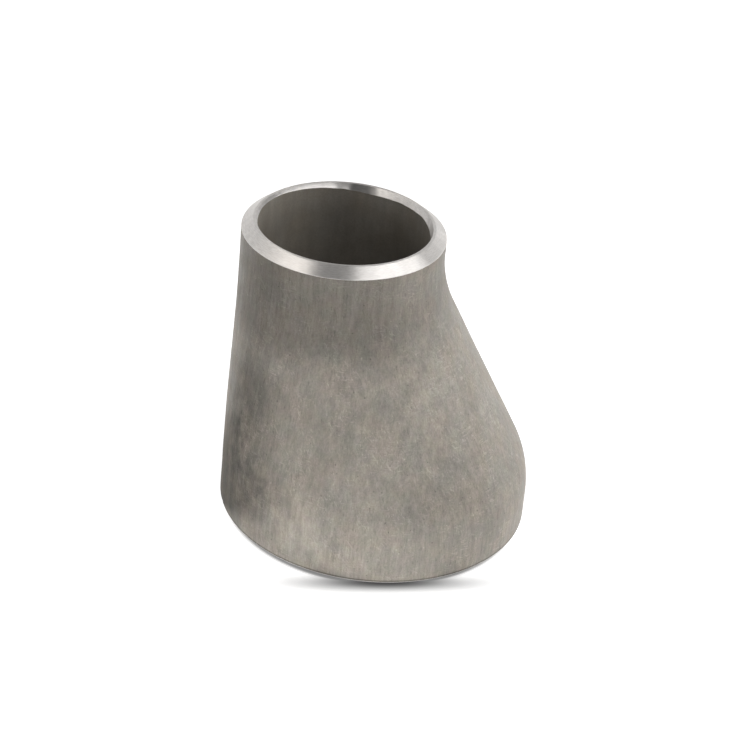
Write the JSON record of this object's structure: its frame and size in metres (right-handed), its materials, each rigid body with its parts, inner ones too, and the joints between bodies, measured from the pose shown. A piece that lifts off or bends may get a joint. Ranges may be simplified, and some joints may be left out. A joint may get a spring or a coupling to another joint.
{
  "type": "eccentric pipe reducer",
  "caption": "Seamless butt-weld eccentric reducer: joins a large pipe to a smaller one with one side kept straight, bevelled weld end at each mouth.",
  "frame": {"origin": "centre of the large end's face, on the large end's axis", "axes": "+Z runs from the large end to the small end, -X is the straight (flat) side, +X is the sloping side, and the part is mirror-symmetric about the XZ plane"},
  "size_m": [0.089, 0.089, 0.089],
  "materials": {
    "blasted_stainless": "blasted and pickled matte stainless steel, machined bright on the weld bevels, root faces and bored mouths"
  },
  "bodies": {
    "root": {"reducer_body": "blasted_stainless"}
  },
  "joints": []
}
